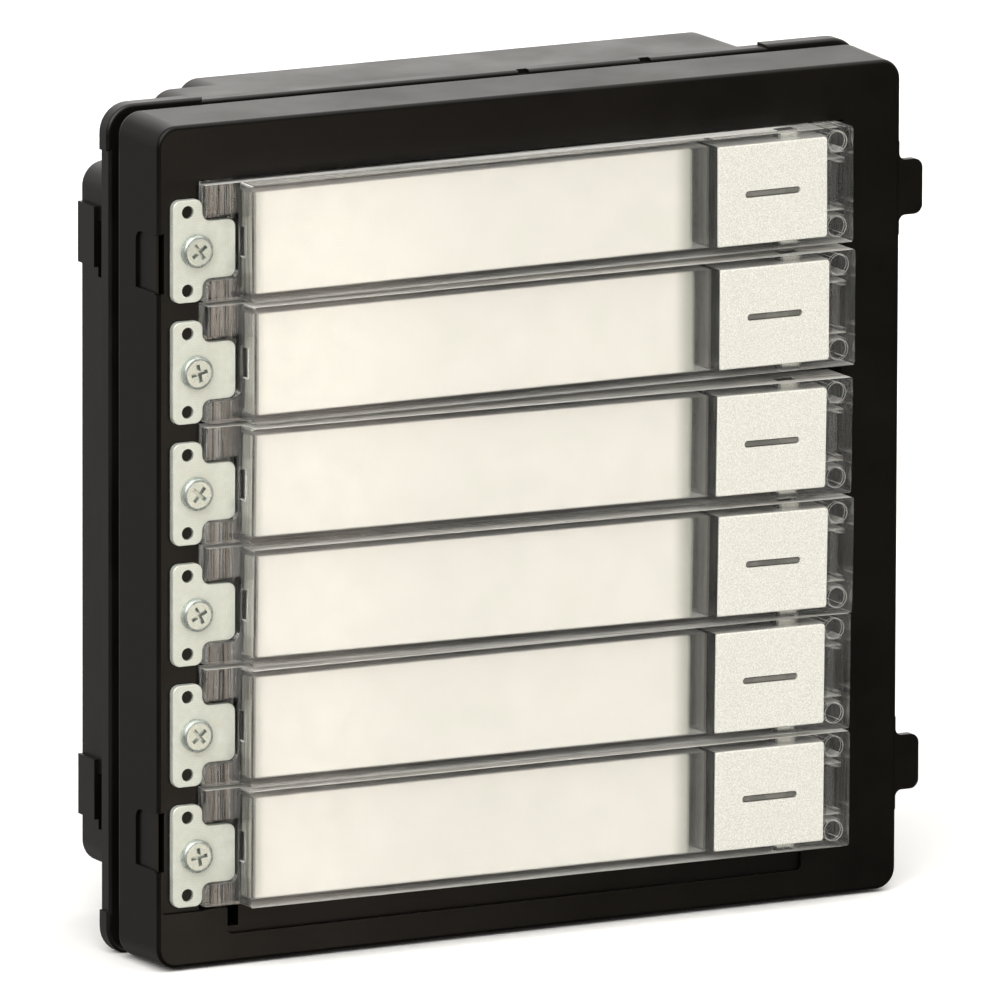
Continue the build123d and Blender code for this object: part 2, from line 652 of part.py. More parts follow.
with BuildPart() as switch_bodies:
    with BuildSketch(face_plane(board_front)):
        with Locations(*[(cap_middle, z - post_drop) for z in rows]):
            Rectangle(switch_size, switch_size)
    extrude(amount=switch_height)
    with BuildSketch(face_plane(board_front + 0.4)):
        with Locations(*[(cap_middle, z - post_drop) for z in rows]):
            Circle(stem_radius + 0.15)
    extrude(amount=switch_height, mode=Mode.SUBTRACT)
switch_bodies.part.label = "switch_bodies"
export_step(switch_bodies.part, "parts/switch_bodies.step")

lamp_step = (card_right - card_left) / 3
with BuildPart() as backlight_lamps:
    with BuildSketch(face_plane(board_front)):
        with Locations(*[(card_left + lamp_step * (n + 0.5), z) for z in rows for n in range(3)]):
            Rectangle(3.0, 1.4)
    extrude(amount=0.8)
backlight_lamps.part.label = "backlight_lamps"
export_step(backlight_lamps.part, "parts/backlight_lamps.step")

with BuildPart() as indicator_lamps:
    with BuildSketch(face_plane(board_front)):
        with Locations(*[(cap_middle, z) for z in rows]):
            Rectangle(2.0, 1.2)
    extrude(amount=0.8)
indicator_lamps.part.label = "indicator_lamps"
export_step(indicator_lamps.part, "parts/indicator_lamps.step")

with BuildPart() as board_screws:
    with BuildSketch(face_plane(key_board_height)):
        with Locations(*board_spots):
            Circle(1.6)
    extrude(amount=-1.1)
    fillet(board_screws.edges().filter_by(GeomType.CIRCLE).group_by(Axis.Y)[-1], 0.4)
    with BuildSketch(face_plane(key_board_height)):
        with Locations(*board_spots):
            Circle(board_screw_radius)
    extrude(amount=5.0)
board_screws.part.label = "board_screws"
export_step(board_screws.part, "parts/board_screws.step")

# ---- interface board at the rear, with the bus sockets and the address switch ----
interface_half = box_half - box_wall - 2 * board_room
interface_left = deep_left + box_wall + 2 * board_room
interface_right = box_right - box_wall - 2 * board_room
corner_room = pillar_radius + 0.7
link_length = 16.0
link_height = 5.0
link_spot = (rear_middle - 1.7, -8.0)
with BuildPart() as interface_board:
    with BuildSketch(face_plane(interface_rear)):
        patch(interface_left, interface_right, -interface_half, interface_half)
        for x, z in pillar_spots:
            edge = interface_half if z > 0 else -interface_half
            side = interface_right if x > rear_middle else interface_left
            left, right = sorted((x + corner_room if x < rear_middle else x - corner_room, side))
            low, high = sorted((z - corner_room if z > 0 else z + corner_room, edge))
            patch(left, right, low, high, mode=Mode.SUBTRACT)
        with Locations(*boss_spots):
            Circle(boss_hole + 0.2, mode=Mode.SUBTRACT)
    extrude(amount=board_thickness)
interface_board.part.label = "interface_board"
export_step(interface_board.part, "parts/interface_board.step")

with BuildPart() as board_link:
    with BuildSketch(face_plane(interface_front)):
        with Locations(link_spot):
            Rectangle(link_length, link_height)
    extrude(amount=key_board_height - interface_front)
    chamfer(board_link.edges().filter_by(Axis.Y), 0.4)
board_link.part.label = "board_link"
export_step(board_link.part, "parts/board_link.step")

socket_rise = box_depth + interface_rear - 0.3
pin_pitch = 2.5
for name, (x, z) in zip(("bus_socket_in", "bus_socket_out"), socket_spots):
    with BuildPart() as bus_socket:
        with BuildSketch(face_plane(interface_rear)):
            with Locations((x, z)):
                Rectangle(socket_width, socket_height)
        extrude(amount=-socket_rise)
        with BuildSketch(face_plane(interface_rear - socket_rise)):
            with Locations((x, z)):
                Rectangle(socket_width - 1.6, socket_height - 1.6)
            with Locations((x, z + socket_height / 2 - 0.4)):
                Rectangle(4.0, 0.8)
        extrude(amount=socket_rise - 1.0, mode=Mode.SUBTRACT)
        with BuildSketch(face_plane(interface_rear - 1.0)):
            with Locations(*[(x + pin_pitch * (n - 1.5), z) for n in range(4)]):
                Rectangle(0.64, 0.64)
        extrude(amount=1.6 - socket_rise)
    bus_socket.part.label = name
    export_step(bus_socket.part, f"parts/{name}.step")

dip_rise = 3.0
slider_count = 6
with BuildPart() as address_switch:
    with BuildSketch(face_plane(interface_rear)):
        with Locations(dip_spot):
            Rectangle(dip_width, dip_height)
    extrude(amount=-dip_rise)
    slider_spots = [(dip_spot[0] + 2.54 * (n - 2.5), dip_spot[1]) for n in range(slider_count)]
    with BuildSketch(face_plane(interface_rear - dip_rise)):
        with Locations(*slider_spots):
            Rectangle(1.3, 3.2)
    extrude(amount=0.5, mode=Mode.SUBTRACT)
    with BuildSketch(face_plane(interface_rear - dip_rise + 0.5)):
        with Locations(*[(x, z + 0.8) for x, z in slider_spots]):
            Rectangle(1.1, 1.2)
    extrude(amount=-0.6)
address_switch.part.label = "address_switch"
export_step(address_switch.part, "parts/address_switch.step")

with BuildPart() as address_plug:
    with BuildSketch(face_plane(-box_depth + 1.0)):
        with Locations(dip_spot):
            RectangleRounded(dip_width + 1.8 + 2 * plug_border, dip_height + 1.8 + 2 * plug_border, 2.4)
    extrude(amount=-0.9)
    fillet(address_plug.faces().sort_by(Axis.Y)[-1].edges(), 0.3)
    with BuildSketch(face_plane(-box_depth + 1.0)):
        with Locations(dip_spot):
            RectangleRounded(dip_width + 1.8, dip_height + 1.8, 1.4)
            RectangleRounded(dip_width + 0.4, dip_height + 0.4, 0.8, mode=Mode.SUBTRACT)
    extrude(amount=0.9)
address_plug.part.label = "address_plug"
export_step(address_plug.part, "parts/address_plug.step")

with BuildPart() as interface_screws:
    with BuildSketch(face_plane(interface_front)):
        with Locations(*boss_spots):
            Circle(1.9)
    extrude(amount=1.2)
    fillet(interface_screws.edges().filter_by(GeomType.CIRCLE).group_by(Axis.Y)[0], 0.4)
    with BuildSketch(face_plane(interface_front)):
        with Locations(*boss_spots):
            Circle(boss_hole)
    extrude(amount=-board_thickness - interface_gap)
interface_screws.part.label = "interface_screws"
export_step(interface_screws.part, "parts/interface_screws.step")

# ---- long-well screws that join the two shells ----
with BuildPart() as housing_screws:
    with BuildSketch(face_plane(screw_ledge)):
        with Locations(*pillar_spots):
            Circle(2.3)
    extrude(amount=-1.8)
    fillet(housing_screws.edges().filter_by(GeomType.CIRCLE).group_by(Axis.Y)[-1], 0.6)
    with BuildSketch(face_plane(screw_ledge - 1.8)):
        with Locations(*pillar_spots):
            Rectangle(2.6, 0.6)
            Rectangle(0.6, 2.6)
    extrude(amount=1.0, mode=Mode.SUBTRACT)
    with BuildSketch(face_plane(screw_ledge)):
        with Locations(*pillar_spots):
            Circle(housing_screw_radius)
    extrude(amount=8.5)
housing_screws.part.label = "housing_screws"
export_step(housing_screws.part, "parts/housing_screws.step")
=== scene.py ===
import json
from math import cos, radians, sin, tau

import bmesh
import bpy
from mathutils import Matrix, Vector

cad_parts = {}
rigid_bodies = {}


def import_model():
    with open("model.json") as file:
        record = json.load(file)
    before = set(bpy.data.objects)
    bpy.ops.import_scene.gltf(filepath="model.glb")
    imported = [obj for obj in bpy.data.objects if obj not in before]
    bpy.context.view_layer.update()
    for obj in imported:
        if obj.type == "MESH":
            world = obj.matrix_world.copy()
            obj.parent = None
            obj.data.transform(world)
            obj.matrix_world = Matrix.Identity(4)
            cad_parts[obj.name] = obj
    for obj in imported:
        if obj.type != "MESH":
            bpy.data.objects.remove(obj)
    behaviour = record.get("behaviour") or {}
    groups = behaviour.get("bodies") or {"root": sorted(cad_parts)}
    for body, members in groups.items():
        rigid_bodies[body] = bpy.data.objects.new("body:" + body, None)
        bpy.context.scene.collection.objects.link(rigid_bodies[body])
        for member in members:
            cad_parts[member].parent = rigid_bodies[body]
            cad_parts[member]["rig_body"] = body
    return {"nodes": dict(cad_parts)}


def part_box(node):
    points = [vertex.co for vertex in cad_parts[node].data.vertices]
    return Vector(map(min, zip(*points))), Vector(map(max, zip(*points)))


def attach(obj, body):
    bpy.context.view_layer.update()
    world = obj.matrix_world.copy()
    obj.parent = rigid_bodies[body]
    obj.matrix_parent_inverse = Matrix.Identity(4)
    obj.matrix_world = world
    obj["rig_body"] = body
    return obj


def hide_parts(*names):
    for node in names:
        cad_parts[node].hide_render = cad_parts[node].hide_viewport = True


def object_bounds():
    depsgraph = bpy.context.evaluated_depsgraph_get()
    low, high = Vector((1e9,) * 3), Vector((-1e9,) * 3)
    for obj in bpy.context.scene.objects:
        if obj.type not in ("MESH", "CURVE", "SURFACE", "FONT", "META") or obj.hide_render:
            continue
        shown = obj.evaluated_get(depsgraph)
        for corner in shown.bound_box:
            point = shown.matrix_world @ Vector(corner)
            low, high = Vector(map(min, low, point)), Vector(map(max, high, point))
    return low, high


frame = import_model()
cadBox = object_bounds()
nodes = frame["nodes"]
scene = bpy.context.scene
mm = 0.001
rowCount = 6
plateLow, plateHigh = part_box("hinge_plate_1")
cardLow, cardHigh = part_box("name_card_1")
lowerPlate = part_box("hinge_plate_2")[0]
print("frame loaded:", len(nodes), "nodes")


def colour(code):  # sRGB hex to linear RGBA
    parts = [int(code[i:i + 2], 16) / 255 for i in (1, 3, 5)]
    return [c / 12.92 if c <= 0.04045 else ((c + 0.055) / 1.055) ** 2.4 for c in parts] + [1.0]


def addNode(tree, kind, settings={}, inputs={}):  # one node, its settings, and its values or links
    node = tree.nodes.new(kind)
    for key, value in settings.items():
        if key == "stops":
            elements = node.color_ramp.elements
            for index, (position, code) in enumerate(value):
                element = elements[index] if index < 2 else elements.new(position)
                element.position, element.color = position, colour(code)
        else:
            setattr(node, key, value)
    for key, value in inputs.items():
        if isinstance(value, bpy.types.Node):
            value = value.outputs[0]
        if isinstance(value, bpy.types.NodeSocket):
            tree.links.new(value, node.inputs[key])
        else:
            node.inputs[key].default_value = value
    return node


def newMaterial(name, paint, **shaderValues):
    # paint(tree, place) gives the sockets of one Principled shader: plain values, or nodes that feed them
    material = bpy.data.materials.new(name)
    material.use_nodes = True
    tree = material.node_tree
    tree.nodes.clear()
    place = addNode(tree, "ShaderNodeTexCoord").outputs["Object"]
    sockets = {key.replace("_", " "): value for key, value in shaderValues.items()}
    shader = addNode(tree, "ShaderNodeBsdfPrincipled", {}, {**sockets, **paint(tree, place)})
    addNode(tree, "ShaderNodeOutputMaterial", {}, {"Surface": shader})
    return material


def mouldedAbs(name, look):
    # black injection-moulded ABS with a fine spark-eroded texture: a soft satin black, never a mirror
    def paint(tree, place):
        mottle = addNode(tree, "ShaderNodeTexNoise", {}, {
            "Vector": place, "Scale": 1 / (look["mottle"] * mm), "Detail": 4.0})
        grain = addNode(tree, "ShaderNodeTexNoise", {}, {
            "Vector": place, "Scale": 1 / (look["grain"] * mm), "Detail": 2.0, "Roughness": 0.6})
        return {
            "Base Color": addNode(tree, "ShaderNodeValToRGB", {
                "stops": [(0.3, look["dark"]), (0.7, look["light"])]}, {"Fac": mottle}),
            "Roughness": addNode(tree, "ShaderNodeMapRange", {}, {
                "Value": mottle, "From Min": 0.3, "From Max": 0.7,
                "To Min": look["smooth"], "To Max": look["rough"]}),
            "Normal": addNode(tree, "ShaderNodeBump", {}, {"Height": grain, "Distance": look["depth"] * mm})}
    return newMaterial(name, paint, IOR=1.54, Specular_IOR_Level=look["specular"])


def polycarbonate(name, look):
    # clear moulded polycarbonate: polished, with the drawn marks of the mould along one direction; a look whose
    # haze is near-opaque white uses it as painted light
    def paint(tree, place):
        swirl = addNode(tree, "ShaderNodeTexNoise", {}, {
            "Vector": place, "Scale": 1 / (look["swirl"] * mm), "Detail": 3.0})
        drawn = addNode(tree, "ShaderNodeMapping", {}, {"Vector": place, "Scale": look["stretch"]})
        marks = addNode(tree, "ShaderNodeTexNoise", {}, {
            "Vector": drawn, "Scale": 1 / (look["mark"] * mm), "Detail": 3.0, "Roughness": 0.6})
        return {
            "Base Color": addNode(tree, "ShaderNodeValToRGB", {
                "stops": [(0.3, look["dark"]), (0.7, look["light"])]}, {"Fac": marks}),
            "Transmission Weight": addNode(tree, "ShaderNodeMapRange", {}, {
                "Value": marks, "From Min": 0.35, "From Max": 0.65,
                "To Min": look["clear"], "To Max": look["hazy"]}),
            "Roughness": addNode(tree, "ShaderNodeMapRange", {}, {
                "Value": swirl, "From Min": 0.35, "From Max": 0.65,
                "To Min": look["smooth"], "To Max": look["rough"]}),
            "Normal": addNode(tree, "ShaderNodeBump", {}, {"Height": marks, "Distance": look["depth"] * mm})}
    return newMaterial(name, paint, IOR=1.585, Alpha=look.get("solid", 1.0))


capLook = {"flake": 0.16, "depth": 0.003, "smooth": 0.4, "rough": 0.5,
           "dark": "#CBCBC3", "middle": "#DDDDD5", "light": "#F1F0EA"}


def silverPaint(tree, place):
    # silver metallic paint on moulded caps: near white, with fine bright and dark flakes
    flakes = addNode(tree, "ShaderNodeTexNoise", {}, {
        "Vector": place, "Scale": 1 / (capLook["flake"] * mm), "Detail": 1.0, "Roughness": 0.7})
    return {
        "Base Color": addNode(tree, "ShaderNodeValToRGB", {
            "stops": [(0.3, capLook["dark"]), (0.5, capLook["middle"]), (0.7, capLook["light"])]}, {
            "Fac": flakes}),
        "Roughness": addNode(tree, "ShaderNodeMapRange", {}, {
            "Value": flakes, "To Min": capLook["smooth"], "To Max": capLook["rough"]}),
        "Normal": addNode(tree, "ShaderNodeBump", {}, {
            "Height": flakes, "Distance": capLook["depth"] * mm})}


# millimetres: "screwIn" is the screw's distance from the plate's left edge, "arc" that between two turned arcs
sheetLook = {"cloud": 1.6, "arc": 0.32, "arcShare": 0.07, "screwIn": 2.95, "depth": 0.006,
             "smooth": 0.34, "rough": 0.5, "dark": "#CED2C8", "middle": "#D9DDD3", "light": "#E4E8DF"}


def zincSheet(tree, place):
    # zinc-plated and passivated steel sheet: pale satin grey, with faint arcs that the screws' heads turned
    pitch = plateLow.z - lowerPlate.z
    screwX, screwZ = plateLow.x + sheetLook["screwIn"] * mm, (plateLow.z + plateHigh.z) / 2
    cloud = addNode(tree, "ShaderNodeTexNoise", {}, {
        "Vector": place, "Scale": 1 / (sheetLook["cloud"] * mm), "Detail": 4.0, "Roughness": 0.6})
    axes = addNode(tree, "ShaderNodeSeparateXYZ", {}, {"Vector": place})
    across = addNode(tree, "ShaderNodeMath", {"operation": "SUBTRACT"}, {0: axes.outputs["X"], 1: screwX})
    above = addNode(tree, "ShaderNodeMath", {"operation": "SUBTRACT"}, {
        0: axes.outputs["Z"], 1: screwZ - pitch / 2})
    inRow = addNode(tree, "ShaderNodeMath", {"operation": "WRAP"}, {0: above, 1: 0.0, 2: pitch})
    fromScrew = addNode(tree, "ShaderNodeMath", {"operation": "SUBTRACT"}, {0: inRow, 1: pitch / 2})
    flat = addNode(tree, "ShaderNodeCombineXYZ", {}, {"X": across, "Z": fromScrew})
    distance = addNode(tree, "ShaderNodeVectorMath", {"operation": "LENGTH"}, {0: flat}).outputs["Value"]
    turns = addNode(tree, "ShaderNodeMath", {"operation": "MULTIPLY"}, {
        0: distance, 1: tau / (sheetLook["arc"] * mm)})
    arcs = addNode(tree, "ShaderNodeMath", {"operation": "SINE"}, {0: turns})
    both = addNode(tree, "ShaderNodeMath", {"operation": "MULTIPLY_ADD"}, {
        0: arcs, 1: sheetLook["arcShare"], 2: cloud})
    return {
        "Base Color": addNode(tree, "ShaderNodeValToRGB", {
            "stops": [(0.25, sheetLook["dark"]), (0.5, sheetLook["middle"]), (0.75, sheetLook["light"])]}, {
            "Fac": both}),
        "Roughness": addNode(tree, "ShaderNodeMapRange", {}, {
            "Value": both, "From Min": 0.3, "From Max": 0.7,
            "To Min": sheetLook["smooth"], "To Max": sheetLook["rough"]}),
        "Normal": addNode(tree, "ShaderNodeBump", {}, {
            "Height": both, "Distance": sheetLook["depth"] * mm})}


screwLook = {"dent": 0.9, "depth": 0.006, "smooth": 0.2, "rough": 0.34, "dark": "#9EA59F", "light": "#C0C7C1"}


def zincScrew(tree, place):
    # bright zinc-plated screws: cooler and shinier than the plates, lightly marked by the tumbling
    dents = addNode(tree, "ShaderNodeTexNoise", {}, {
        "Vector": place, "Scale": 1 / (screwLook["dent"] * mm), "Detail": 2.0, "Roughness": 0.5})
    return {
        "Base Color": addNode(tree, "ShaderNodeValToRGB", {
            "stops": [(0.3, screwLook["dark"]), (0.7, screwLook["light"])]}, {"Fac": dents}),
        "Roughness": addNode(tree, "ShaderNodeMapRange", {}, {
            "Value": dents, "From Min": 0.3, "From Max": 0.7,
            "To Min": screwLook["smooth"], "To Max": screwLook["rough"]}),
        "Normal": addNode(tree, "ShaderNodeBump", {}, {
            "Height": dents, "Distance": screwLook["depth"] * mm})}


# each end's shade is full "From" outside the card's edge and gone "To" inside it
cardLook = {"leftFrom": 0.8, "leftTo": 1.6, "rightFrom": 0.4, "rightTo": 2.6, "tooth": 0.2, "toothShare": 0.06,
            "depth": 0.008, "dim": "#A9ABA0", "paper": "#F4F1EA"}


def cardPaper(tree, place):
    # uncoated cream card: even and warm, with paper tooth, and duller at both ends where the key shades it
    tooth = addNode(tree, "ShaderNodeTexNoise", {}, {
        "Vector": place, "Scale": 1 / (cardLook["tooth"] * mm), "Detail": 4.0, "Roughness": 0.6})
    along = addNode(tree, "ShaderNodeSeparateXYZ", {}, {"Vector": place}).outputs["X"]
    leftEnd = addNode(tree, "ShaderNodeMapRange", {"interpolation_type": "SMOOTHSTEP"}, {
        "Value": along, "From Min": cardLow.x - cardLook["leftFrom"] * mm,
        "From Max": cardLow.x + cardLook["leftTo"] * mm})
    rightEnd = addNode(tree, "ShaderNodeMapRange", {"interpolation_type": "SMOOTHSTEP"}, {
        "Value": along, "From Min": cardHigh.x + cardLook["rightFrom"] * mm,
        "From Max": cardHigh.x - cardLook["rightTo"] * mm})
    ends = addNode(tree, "ShaderNodeMath", {"operation": "MULTIPLY"}, {0: leftEnd, 1: rightEnd})
    both = addNode(tree, "ShaderNodeMath", {"operation": "MULTIPLY_ADD"}, {
        0: tooth, 1: cardLook["toothShare"], 2: ends})
    return {
        "Base Color": addNode(tree, "ShaderNodeValToRGB", {
            "stops": [(0.0, cardLook["dim"]), (1.0, cardLook["paper"])]}, {"Fac": both}),
        "Normal": addNode(tree, "ShaderNodeBump", {}, {
            "Height": tooth, "Distance": cardLook["depth"] * mm})}


colourDrift = 4.0  # mm across one patch of colour in the plain plastics


def moulded(name, look, **shaderValues):
    # an engineering plastic, rubber or laminate: slight colour drift and a fine surface texture
    def paint(tree, place):
        drift = addNode(tree, "ShaderNodeTexNoise", {}, {
            "Vector": place, "Scale": 1 / (colourDrift * mm), "Detail": 3.0})
        grain = addNode(tree, "ShaderNodeTexNoise", {}, {"Vector": place, "Scale": 1 / (look["grain"] * mm)})
        return {
            "Base Color": addNode(tree, "ShaderNodeValToRGB", {
                "stops": [(0.3, look["dark"]), (0.7, look["light"])]}, {"Fac": drift}),
            "Roughness": addNode(tree, "ShaderNodeMapRange", {}, {
                "Value": drift, "From Min": 0.3, "From Max": 0.7,
                "To Min": look["smooth"], "To Max": look["rough"]}),
            "Normal": addNode(tree, "ShaderNodeBump", {}, {"Height": grain, "Distance": look["depth"] * mm})}
    return newMaterial(name, paint, **shaderValues)


frontLook = {"mottle": 9.0, "grain": 0.28, "depth": 0.012, "dark": "#080604", "light": "#0E0B07",
             "smooth": 0.3, "rough": 0.38, "specular": 0.2}
frontAbs = mouldedAbs("sparkErodedBlackAbs", frontLook)
rearAbs = mouldedAbs("mouldedBlackAbs", {**frontLook, "smooth": 0.3, "rough": 0.42, "specular": 0.4})

# front and rear faces are polished; the long walls carry marks along X, the ends and the hinge tabs along Z
clearKey = polycarbonate("polishedPolycarbonate", {
    "swirl": 2.5, "stretch": (0.3, 1.0, 0.3), "mark": 1.5, "dark": "#F9FBF8", "light": "#FFFFFF",
    "clear": 0.97, "hazy": 0.99, "smooth": 0.1, "rough": 0.14, "depth": 0.002, "solid": 0.6})
# the long walls' drawn marks are real; their near-opaque white haze is painted light, standing in for the light
# carried along the clear walls
longWalls = polycarbonate("longDrawnPolycarbonateWithPaintedLight", {
    "swirl": 2.0, "stretch": (0.02, 1.0, 1.0), "mark": 0.5, "dark": "#FAF8F2", "light": "#FFFFFF",
    "clear": 0.0, "hazy": 0.55, "smooth": 0.04, "rough": 0.14, "depth": 0.02})
endWalls = polycarbonate("tallDrawnPolycarbonate", {
    "swirl": 1.5, "stretch": (1.0, 1.0, 0.05), "mark": 0.5, "dark": "#E4E4DE", "light": "#FFFFFF",
    "clear": 0.9, "hazy": 1.0, "smooth": 0.03, "rough": 0.12, "depth": 0.03})
outerWalls = polycarbonate("outerDrawnPolycarbonate", {
    "swirl": 2.0, "stretch": (0.02, 1.0, 1.0), "mark": 0.5, "dark": "#EFEEE6", "light": "#FFFFFF",
    "clear": 0.65, "hazy": 0.98, "smooth": 0.04, "rough": 0.14, "depth": 0.02})
hingeTabs = polycarbonate("hingeTabPolycarbonate", {
    "swirl": 1.5, "stretch": (1.0, 1.0, 0.03), "mark": 0.9, "dark": "#8F8D86", "light": "#FFFFFF",
    "clear": 1.0, "hazy": 0.9, "smooth": 0.02, "rough": 0.08, "depth": 0.12})
# painted highlight: the rounded edges are near-opaque white, so every edge of the clear keys draws a bright line
paintedEdgeHighlight = polycarbonate("paintedHighlightEdges", {
    "swirl": 1.0, "stretch": (0.2, 1.0, 0.2), "mark": 0.6, "dark": "#E9E9E2", "light": "#FFFFFF",
    "clear": 0.1, "hazy": 0.6, "smooth": 0.12, "rough": 0.25, "depth": 0.01})

silver = newMaterial("silverMetallicPaint", silverPaint, Metallic=0.25, IOR=1.5)
sheet = newMaterial("zincPlatedSheet", zincSheet, Metallic=0.45)
screwZinc = newMaterial("brightZincScrew", zincScrew, Metallic=0.65)
paper = newMaterial("creamCard", cardPaper, Roughness=0.85, IOR=1.45, Specular_IOR_Level=0.2)
opal = moulded("opalAcrylic", {"grain": 0.3, "depth": 0.006, "dark": "#D9D8D0", "light": "#E9E8E0",
                               "smooth": 0.35, "rough": 0.5})
guide = moulded("smokedAcrylicGuide", {"grain": 0.3, "depth": 0.006, "dark": "#5E5E59", "light": "#777771",
                                       "smooth": 0.2, "rough": 0.35})
rubber = moulded("sealRubber", {"grain": 0.15, "depth": 0.015, "dark": "#0A0A0A", "light": "#141413",
                                "smooth": 0.7, "rough": 0.85})
laminate = moulded("greenGlassLaminate", {"grain": 0.5, "depth": 0.006, "dark": "#0E3B22", "light": "#15502F",
                                          "smooth": 0.28, "rough": 0.4})
nylon = moulded("ivoryNylon", {"grain": 0.3, "depth": 0.006, "dark": "#CFC8B4", "light": "#E2DCCB",
                               "smooth": 0.45, "rough": 0.6})
blackNylon = moulded("blackNylon", {"grain": 0.3, "depth": 0.006, "dark": "#0F0F10", "light": "#1A1A1C",
                                    "smooth": 0.45, "rough": 0.6})
resin = moulded("yellowLampResin", {"grain": 0.3, "depth": 0.006, "dark": "#E8D69A", "light": "#F2E7B8",
                                    "smooth": 0.2, "rough": 0.35})
blueBlock = moulded("blueSwitchBlock", {"grain": 0.3, "depth": 0.006, "dark": "#123C86", "light": "#1B4DA0",
                                        "smooth": 0.35, "rough": 0.5})

finishes = {"front_housing": frontAbs, "rear_housing": rearAbs, "seal_gasket": rubber, "plate_screws": screwZinc,
            "key_board": laminate, "interface_board": laminate, "switch_bodies": blackNylon,
            "backlight_lamps": resin, "indicator_lamps": resin, "board_screws": screwZinc,
            "interface_screws": screwZinc, "housing_screws": screwZinc, "board_link": blackNylon,
            "bus_socket_in": nylon, "bus_socket_out": nylon, "address_switch": blueBlock, "address_plug": rubber}
rowFinishes = {"key_cover": clearKey, "button_cap": silver, "light_guide": guide, "name_card": paper,
               "card_insert": opal, "hinge_plate": sheet, "switch_stem": opal}
for kind, material in rowFinishes.items():
    for row in range(1, rowCount + 1):
        finishes[f"{kind}_{row}"] = material
for name, material in finishes.items():
    nodes[name].data.materials.clear()
    nodes[name].data.materials.append(material)
print("materials ready")

# millimetres for "edge", "weld", "tabEnd" and "outside"; degrees for "flat", "sharp" and "smooth"
keyFinish = {"edge": 0.1, "segments": 2, "weld": 0.002, "flat": 0.5, "sharp": 32, "smooth": 22, "wall": 0.7,
             "tabEnd": 0.3, "outside": 0.45}
keyMaterials = {"faces": clearKey, "long": longWalls, "ends": endWalls, "edges": paintedEdgeHighlight,
                "outer": outerWalls, "tab": hingeTabs}
keySlots = {part: slot for slot, part in enumerate(keyMaterials)}


def clearKeyPiece(row, finish):
    # a copy of the key's mesh, merged, its flats made whole and its sharp edges rounded
    source = nodes[f"key_cover_{row}"]
    hingeEnd = plateHigh.x + finish["tabEnd"] * mm
    capLow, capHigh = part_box(f"button_cap_{row}")
    outside = (capHigh.z - capLow.z) / 2 + finish["outside"] * mm
    paperLow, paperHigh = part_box(f"name_card_{row}")
    middle = (paperLow.z + paperHigh.z) / 2
    bm = bmesh.new()
    bm.from_mesh(source.data)
    bmesh.ops.remove_doubles(bm, verts=bm.verts, dist=finish["weld"] * mm)
    bmesh.ops.dissolve_limit(bm, angle_limit=radians(finish["flat"]), verts=bm.verts, edges=bm.edges)
    sharp = [e for e in bm.edges if e.is_manifold and e.calc_face_angle(0) > radians(finish["sharp"])]
    rounded = bmesh.ops.bevel(bm, geom=sharp, offset=finish["edge"] * mm, offset_type="OFFSET",
                              segments=finish["segments"], profile=0.5, affect="EDGES", material=-1,
                              clamp_overlap=True)
    bm.normal_update()
    for face in bm.faces:
        face.smooth = True
        centre = face.calc_center_median()
        if centre.x < hingeEnd:
            face.material_index = keySlots["tab"]
        elif abs(face.normal.x) > finish["wall"]:
            face.material_index = keySlots["ends"]
        elif abs(face.normal.y) < finish["wall"]:
            face.material_index = keySlots["outer" if abs(centre.z - middle) > outside else "long"]
    # the rounded edges take the painted highlight white
    for face in rounded["faces"]:
        if face.is_valid:
            face.material_index = keySlots["edges"]
    for edge in bm.edges:
        edge.smooth = edge.is_manifold and edge.calc_face_angle(0) < radians(finish["smooth"])
    mesh = bpy.data.meshes.new(f"clearKey_{row}")
    bm.to_mesh(mesh)
    bm.free()
    for material in keyMaterials.values():
        mesh.materials.append(material)
    piece = bpy.data.objects.new(f"clearKey_{row}", mesh)
    scene.collection.objects.link(piece)
    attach(piece, source["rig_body"])
    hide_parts(source.name)


for row in range(1, rowCount + 1):
    clearKeyPiece(row, keyFinish)
print("clear keys ready")

# millimetres: the front's thickness, the posts' radius, how far posts and partitions stand from the middle;
# sizes of the painted highlight rings and beads
paintedRootHighlights = {"front": 1.2, "post": 1.15, "postRow": 4.99, "wallRow": 3.0, "bead": 0.06, "endWall": 0.8,
             "ringSteps": 36, "beadSides": 8}


